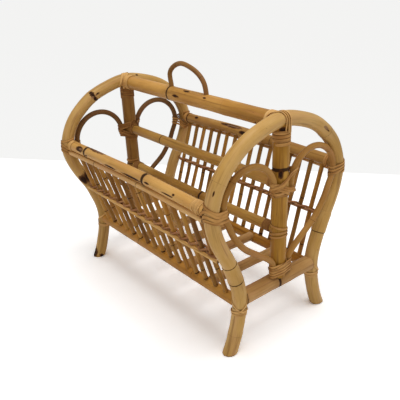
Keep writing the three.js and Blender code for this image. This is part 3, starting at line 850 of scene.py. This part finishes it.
edge_diameter = 8.5 * mm
edge_height = upper_height - 12.7 * mm
edge_reach = 192 * mm
edge_bow = 0.5 * mm
edge_away = (slat_diameter + edge_diameter) / 2 + strand_gap
on_slats = side_head.y + (edge_height - upper_height) * side_lean.y / side_lean.z
edge_place = on_slats - edge_away / side_lean.z
edge_bark = bark("edge_bark", (230, 184, 120), (212, 162, 96), (174, 126, 70), (116, 74, 38), 0.46)
for side, towards in both_sides:
    cane(f"{side}_edge_rod", f"{side}_edge_cane", "thin_cane", edge_bark,
         endwise(edge_reach, -towards * edge_place, edge_height, edge_bow, upper_rise),
         edge_diameter, sides=18,
         rings=marks((-96, towards * 137, 232, 0.3), (34, towards * 137, 232, 0.3)))


# Nails
# Thin steel nails go through the hoops into the ends of the rails and posts. Their small heads are
# driven level with the bark.

head_diameter = 3.6 * mm
shank_diameter = 1.8 * mm
head_dome = 0.5 * mm
head_rounding = 0.35 * mm
nail_length = 33 * mm
nail_shift = 4 * mm


def steel():
    """Bare wire, dulled and scratched."""
    wire = Finish("nail_steel", Metallic=1.0)
    place = wire.node("TexCoord").outputs["Object"]
    scratch = wire.level("TexNoise", {"Vector": place, "Scale": 1400})
    tone = wire.tinted((168, 134, 96), (wire.step(scratch, 0.4, 0.65), (124, 92, 62)))
    return wire.coat(tone, 0.35 + scratch * 0.3, scratch, 0.1 * mm, 0.4)


def nail(node, head, way):
    """One nail, driven in at a place on the bark, along a way."""
    bm = bmesh.new()
    bmesh.ops.create_cone(bm, cap_ends=True, segments=18, depth=head_dome,
                          radius1=head_diameter / 2, radius2=head_diameter / 2)
    top = next(face for face in bm.faces if face.normal.z > 0.9)
    bottom = next(face for face in bm.faces if face.normal.z < -0.9)
    bmesh.ops.inset_individual(bm, faces=[bottom], thickness=(head_diameter - shank_diameter) / 2)
    shank = bmesh.ops.extrude_discrete_faces(bm, faces=[bottom])["faces"][0]
    bmesh.ops.translate(bm, verts=shank.verts, vec=(0, 0, -nail_length))
    bmesh.ops.bevel(bm, geom=list(top.edges), offset=head_rounding, segments=3, profile=0.5,
                    affect="EDGES", material=-1)
    turn = (-way).to_track_quat("Z", "Y").to_matrix()
    bmesh.ops.rotate(bm, verts=bm.verts, cent=(0, 0, 0), matrix=turn)
    bmesh.ops.translate(bm, verts=bm.verts, vec=head + way * (head_dome / 2))
    bmesh.ops.recalc_face_normals(bm, faces=bm.faces)
    set_in(node + "_head", bm, [nail_steel], "nail_steel", node)


nail_steel = steel()
for name, end in both_ends:
    outside = end * (half_length + hoop_diameter / 2)
    inwards = Vector((-end, 0, 0))
    nail(name + "_top_rail_nail", Vector((outside, end * nail_shift, hoop_height)), inwards)
    crown = Vector((end * half_length, -end * nail_shift, hoop_height + hoop_diameter / 2))
    nail(name + "_post_nail", crown, Vector((0, 0, -1)))
    for side, towards in both_sides:
        corner = f"{name}_{side}"
        upper = Vector((outside, towards * upper_out, upper_height))
        nail(corner + "_upper_rail_nail", upper, inwards)
        bottom = Vector((outside, towards * bottom_out, bottom_height))
        nail(corner + "_bottom_rail_nail", bottom, inwards)
        leg = hoop_out_at(end_height) + hoop_diameter / 2
        place = Vector((end * half_length, towards * leg, end_height))
        nail(corner + "_end_rail_nail", place, Vector((0, -towards, 0)))


# Bindings
# Long strips of peeled cane, wound damp and tight round each joint over the nails. They bridge the
# hollows between canes and cross over each other, and their ends are tucked in.

strip_sides = 12
strip_far = 45 * mm
strip_taper = 3 * mm
strip_ragged = 0.08
tuck = 0.9 * mm
pull_rounds = 40
shoulder_in = 4 * mm
sling_middle = Vector((0, -3.5 * mm, 341 * mm))
sling_lean = Vector((0.5, -0.86, 0))
sling_ways = (
    (0.9, 0.2, -0.95), (0.95, 0.35, -0.2), (0.6, 0.35, 0.7), (-0.1, 0.1, 0.95), (-0.6, -0.35, 0.7),
    (-0.75, -0.75, -0.15), (-0.4, -0.85, -0.9),
)


def peeled(name, pale, golden, dark):
    """The inner wood of split rattan: matt, with its fibres bare and its edges darker."""
    wood = Finish(name, Specular_IOR_Level=0.14)
    fibre = wood.grain(0.04, 1500, 2)
    streak = wood.grain(0.06, 520, 3)
    patch = wood.grain(0.5, 60, 3)
    tone = wood.tinted(
        pale,
        (wood.step(patch, 0.35, 0.65), golden),
        (wood.step(streak, 0.45, 0.75) * 0.6, dark),
        (wood.step(fibre, 0.5, 0.8) * 0.4, pale),
        (wood.step(wood.attribute("edge"), 0.35, 1) * 0.75, dark),
    )
    return wood.coat(tone, 0.5 + streak * 0.25, fibre * 0.6 + streak, 0.35 * mm, 0.6)


def wound(levels, centre, start, other):
    """The rays of a strip: each level is a number of turns and how far along the joint it is, in mm."""
    rays = []
    for place in through([Vector((turn, rise * mm, 0)) for turn, rise in levels], 12):
        angle = place.x * tau
        rays.append((centre(place.y), start * cos(angle) + other * sin(angle)))
    return rays


def helix(bottom, turns, pitch, first=0.0):
    """Levels of plain turns, one above the other."""
    return [(first + turn / 4, bottom + turn / 4 * pitch) for turn in range(round(turns * 4) + 1)]


def quarters(first, *rises):
    """Levels a quarter of a turn apart."""
    return [(first + index / 4, rise) for index, rise in enumerate(rises)]


def taut(rays, trees, thickness):
    """The strip's line, pulled tight: on the canes where they stand out, straight across hollows."""
    rests = []
    for centre, out in rays:
        reaches = [tree.ray_cast(centre + out * strip_far, -out, strip_far)[3] for tree in trees]
        heights = [strip_far - reach for reach in reaches if reach is not None]
        rests.append(max(heights or [0]) + thickness / 2)
    rests[0] -= tuck
    rests[-1] -= tuck
    places = [centre + out * rest for (centre, out), rest in zip(rays, rests)]
    for _ in range(pull_rounds):
        for index in range(1, len(rays) - 1):
            centre, out = rays[index]
            meets = intersect_line_line(centre, centre + out, places[index - 1], places[index + 1])
            if meets:
                places[index] = centre + out * max(rests[index], (meets[0] - centre).dot(out))
    return places


def lay_strip(joint, rays, trees, width, thickness):
    """One strip of the joint's binding. The strips laid after it pass over it."""
    places = taut(rays, trees, thickness)
    blank, grown, edge = rod(strip_sides, len(places), "edge")
    reach = reaches(places)
    seed = (len(bench) * 1.7 + len(trees) * 0.61) % 3
    for vert in blank.verts:
        index = round((vert.co.z + 1) / 2 * (len(places) - 1))
        way = heading(places, index)
        across = way.cross(rays[index][1]).normalized()
        out = across.cross(way)
        angle = atan2(vert.co.y, vert.co.x)
        wide = copysign(abs(cos(angle)) ** 0.6, cos(angle))
        deep = copysign(abs(sin(angle)) ** 0.8, sin(angle))
        from_end = min(reach[index], reach[-1] - reach[index])
        narrow = 0.6 + 0.4 * min(from_end / strip_taper, 1)
        ragged = 1 + strip_ragged * noise.noise(Vector((reach[index] * 120, seed * 9, wide)))
        offset = wide * width / 2 * narrow * ragged
        vert.co = places[index] + across * offset + out * deep * thickness / 2
        vert[grown] = (offset, deep * thickness / 2, reach[index] + seed)
        vert[edge] = abs(wide) ** 4
    for face in blank.faces:
        face.smooth = True
    bmesh.ops.recalc_face_normals(blank, faces=blank.faces)
    trees.append(BVHTree.FromBMesh(blank))
    laid = bpy.data.meshes.new("laid_strip")
    blank.to_mesh(laid)
    blank.free()
    joint.from_mesh(laid)
    bpy.data.meshes.remove(laid)


def bind(place, part, binding, material, canes, strips):
    """A part of one joint's binding: a long strip, seen as the turns that it makes."""
    joint = bmesh.new()
    trees = [bench[cane_name] for cane_name in canes]
    for rays, width, thickness in strips:
        lay_strip(joint, rays, trees, width * mm, thickness * mm)
    set_in(f"{place}_{part}", joint, [material], "peeled_cane", f"{place}_{binding}_binding")


pale_strip = peeled("pale_strip", (222, 176, 112), (202, 154, 88), (138, 92, 48))
tan_strip = peeled("tan_strip", (200, 150, 86), (170, 118, 60), (92, 53, 26))
dark_strip = peeled("dark_strip", (164, 116, 62), (138, 92, 44), (84, 48, 20))
up = Vector((0, 0, 1))
front = Vector((0, -1, 0))
side_way = Vector((0, 1, 0))

for name, end in both_ends:
    x = end * half_length
    outer = Vector((end, 0, 0))
    post, crown = name + "_post_cane", name + "_hoop_cane"
    loops = [f"{name}_front_loop_cane", f"{name}_back_loop_cane"]

    def round_post(levels, drop=0):
        lowered = [(turn, rise - drop) for turn, rise in levels]
        return wound(lowered, lambda height: Vector((x, 0, height)), front, outer)

    def round_centre_rail(height, levels):
        return wound(levels, lambda reach: Vector((end * reach, 0, height)), up, side_way)

    def over_crown(shift):
        """A strip slung over the hoop's crown, from behind the post to its inner front side."""
        ways = through([Vector((across * end, along, rise)) for across, along, rise in sling_ways], 10)
        lean = Vector((end * sling_lean.x, sling_lean.y, 0))
        middle = Vector((x, sling_middle.y, sling_middle.z)) + lean * shift * mm
        return [(middle, way.normalized()) for way in ways]

    crown_strip, turns, pitch, width = (tan_strip, 4, 5.6, 5.2) if end > 0 else (dark_strip, 5.75, 3.9, 3.7)
    bind(name, "crown_wraps", "crown", crown_strip, [post], [
        (round_post(helix(310.6, turns, pitch)), width, 1.2),
    ])
    bind(name, "crown_slings", "crown", pale_strip,
         [post, crown, "top_rail_cane", name + "_crown_wraps"],
         [(round_centre_rail(top_height, helix(177.5, 3, 3.8, 0.4)), 4.4, 1.2),
          (over_crown(-3.7), 4.6, 1.2), (over_crown(0.3), 4.6, 1.2), (over_crown(4), 4.2, 1.2)])

    middle_strip, climb = (tan_strip, 0) if end > 0 else (dark_strip, -7)
    bind(name, "middle_wraps", "middle", middle_strip, [post, *loops], [
        (round_post(quarters(0, 244.5, 243, 242, 238, 240.5, 239, 237.5, 233.8, 236, 234.5, 233, 229.5,
                             231)), 3.9, 1.4),
        *((round_post([(-0.35, 264), (-0.1, 262), (0.11, 253), (0.3, 244), (0.5, 239)], drop), 4, 1.4)
          for drop in (0, 3.7, 7.4)),
        *((round_post([(0.85, 264 + climb), (0.62, 267 + climb), (0.4, 267 + climb), (0.25, 259 + climb),
                       (0.11, 252), (-0.1, 243), (-0.25, 240)], drop), 4, 1.4) for drop in (0, 3.8)),
    ])
    bind(name, "middle_collar", "middle", middle_strip,
         ["middle_rail_cane", name + "_middle_wraps"],
         [(round_centre_rail(middle_height, helix(179, 2.2, 4)), 4, 1.4)])
    bind(name, "lower_wraps", "lower", tan_strip, [post], [
        (round_post([(-0.3, 186), *quarters(-0.25, 185.8, 184, 180, 174.5, 164.8, 171.5, 174.5, 169.5, 161,
                                            165.5, 168.8, 164.5), (2.7, 158.5)]), 3.7, 1.4),
    ])
    bind(name, "lower_tail", "lower", dark_strip, ["lower_rail_cane"], [
        (round_centre_rail(lower_height, helix(171.5, 6, 2.5)), 2.5, 1),
    ])
    bind(name, "foot_wraps", "post_foot", tan_strip, [post, *loops], [
        (round_post(helix(102.6, 5, 4.3)), 3.9, 1.5),
        (round_post([(-0.1, 110), (0, 113), (0.25, 121), (0.4, 126)]), 3.4, 1.3),
    ])

    for side, towards in both_sides:
        corner = f"{name}_{side}"
        away = Vector((0, towards, 0))

        def up_shoulder(rise):
            height = upper_height + rise
            return Vector((x, towards * (hoop_out_at(height) - shoulder_in), height))

        def round_rail(levels):
            middle = Vector((0, towards * upper_out, upper_height))
            return wound(levels, lambda reach: middle + outer * reach, up, away)

        def round_leg(levels):
            return wound(levels, lambda z: Vector((x, towards * hoop_out_at(z), z)), away, outer)

        if corner == "right_front":
            width, thickness = 4.7, 1.4
            levels = quarters(-0.25, 13, 9, 0, -3, -14.5, 4.5, -4.5, -7, -18, -3, -9, -11, -22, -9, -13.5,
                              -16)
            windings = [
                (round_rail(helix(170, 7.5, 2.3)), 2.3, 0.8),
                (round_rail([(0.2, 172), (0.35, 176), (0.5, 182), (0.7, 187)]), 2.3, 0.9),
                (round_rail([(0.15, 187), (0.3, 183), (0.5, 177), (0.7, 172)]), 2.3, 0.9),
            ]
        else:
            width, thickness = 3.9, 1.5
            levels = quarters(-0.25, 13, 8, 3, -1, -14, 3, -1.5, -6, -18, -3, -6, -11, -22, -9, -11)
            windings = [(round_rail(helix(178, 2.5, 3.6)), 3.7, 0.9)]
        winding_strip = pale_strip if side == "front" else tan_strip
        bind(corner, "rail_windings", "shoulder", winding_strip, [side + "_upper_cane"], windings)
        bind(corner, "shoulder_wraps", "shoulder", tan_strip,
             [crown, corner + "_loop_cane", side + "_upper_cane", corner + "_rail_windings"],
             [(wound(levels, up_shoulder, away, outer), width, thickness)])
        bind(corner, "leg_wraps", "leg", pale_strip, [crown], [
            (round_leg(helix(63.5, 2.25, 3.1, 0.3)), 2.6, 0.9),
            (round_leg([(-0.3, 96), (-0.25, 93), (0, 81), (0.143, 73), (0.35, 71), (0.5, 70), (0.6, 69)]),
             2.8, 1),
            (round_leg([(0.55, 105), (0.5, 103), (0.3, 84), (0.143, 73), (0, 70), (-0.25, 67.5),
                        (-0.4, 67)]), 2.8, 1),
        ])


# Floor, light and camera
# The stage is a pale floor that turns a shade greyer where the wall starts. One wide lamp hangs over
# the basket, and the camera stands where the photograph was taken from.

floor_half = 12
wall_line = (here(-954, -32, 0), here(-23, 719, 0))
wall_blur = 4 * mm
wall_glow = 0.92
lamp_place = (0.27, 0.06, 1.95)
lamp_size = 1.2
lamp_power = 17
sky_strength = 0.6
azimuth = radians(51.654)
elevation = radians(24.249)
camera_roll = radians(-2.141)
camera_distance = 0.9525
target = here(0, 10.3, 154.4)
camera_lens = 47.85


def stage_finish():
    """Matt paint. The camera sees a lighter floor than the light does, and a wall that glows a little."""
    paint = Finish("stage_paint", Roughness=0.9)
    place = paint.node("TexCoord").outputs["Object"]
    along = (wall_line[1] - wall_line[0]).normalized()
    behind = Vector((-along.y, along.x, 0))
    shift = paint.node("VectorMath", {0: place, 1: behind}, operation="DOT_PRODUCT")
    start = wall_line[0].dot(behind)
    wall = paint.step(Level(paint, shift.outputs["Value"]), start - wall_blur, start + wall_blur)
    ray = paint.node("LightPath")
    seen = Level(paint, ray.outputs["Is Camera Ray"]) + Level(paint, ray.outputs["Is Glossy Ray"])
    seen = seen + Level(paint, ray.outputs["Is Transmission Ray"])
    floor_tone = paint.blend(seen, (0.9, 0.895, 0.885, 1), (1.375, 1.385, 1.405, 1))
    tone = paint.blend(wall, floor_tone, (0.84, 0.84, 0.835, 1))
    paint.feed(paint.shader.inputs["Base Color"], tone)
    glow = paint.node("Emission", {"Color": colour(247, 247, 246), "Strength": 1.0})
    share = seen * wall * wall_glow
    mixed = paint.node("MixShader", {0: share, 1: paint.shader.outputs[0], 2: glow.outputs[0]})
    paint.tree.links.new(mixed.outputs[0], paint.tree.nodes["Material Output"].inputs[0])
    return paint.material


stage_bm = bmesh.new()
bmesh.ops.create_grid(stage_bm, x_segments=2, y_segments=2, size=floor_half)
stage_mesh = bpy.data.meshes.new("stage_floor")
stage_bm.to_mesh(stage_mesh)
stage_bm.free()
stage_mesh.materials.append(stage_finish())
stage_floor = stand("stage_floor", stage_mesh)

lamp = stand("overhead_lamp", bpy.data.lights.new("overhead_lamp", "AREA"))
lamp.data.size = lamp_size
lamp.data.energy = lamp_power
lamp.location = lamp_place
lamp.rotation_euler = (target - Vector(lamp.location)).to_track_quat("-Z", "Y").to_euler()

world = bpy.data.worlds.new("room")
world.use_nodes = True
sky = world.node_tree.nodes["Background"]
sky.inputs[0].default_value = (1, 0.99, 0.97, 1)
sky.inputs[1].default_value = sky_strength
bpy.context.scene.world = world
bpy.context.scene.view_settings.view_transform = "Standard"

back = Vector((sin(azimuth) * cos(elevation), -cos(azimuth) * cos(elevation), sin(elevation)))
camera = stand("camera", bpy.data.cameras.new("camera"))
camera.data.lens = camera_lens
camera.location = target + back * camera_distance
camera.rotation_mode = "QUATERNION"
camera.rotation_quaternion = (-back).to_track_quat("-Z", "Y") @ Quaternion((0, 0, 1), camera_roll)
bpy.context.scene.camera = camera


bpy.context.view_layer.update()
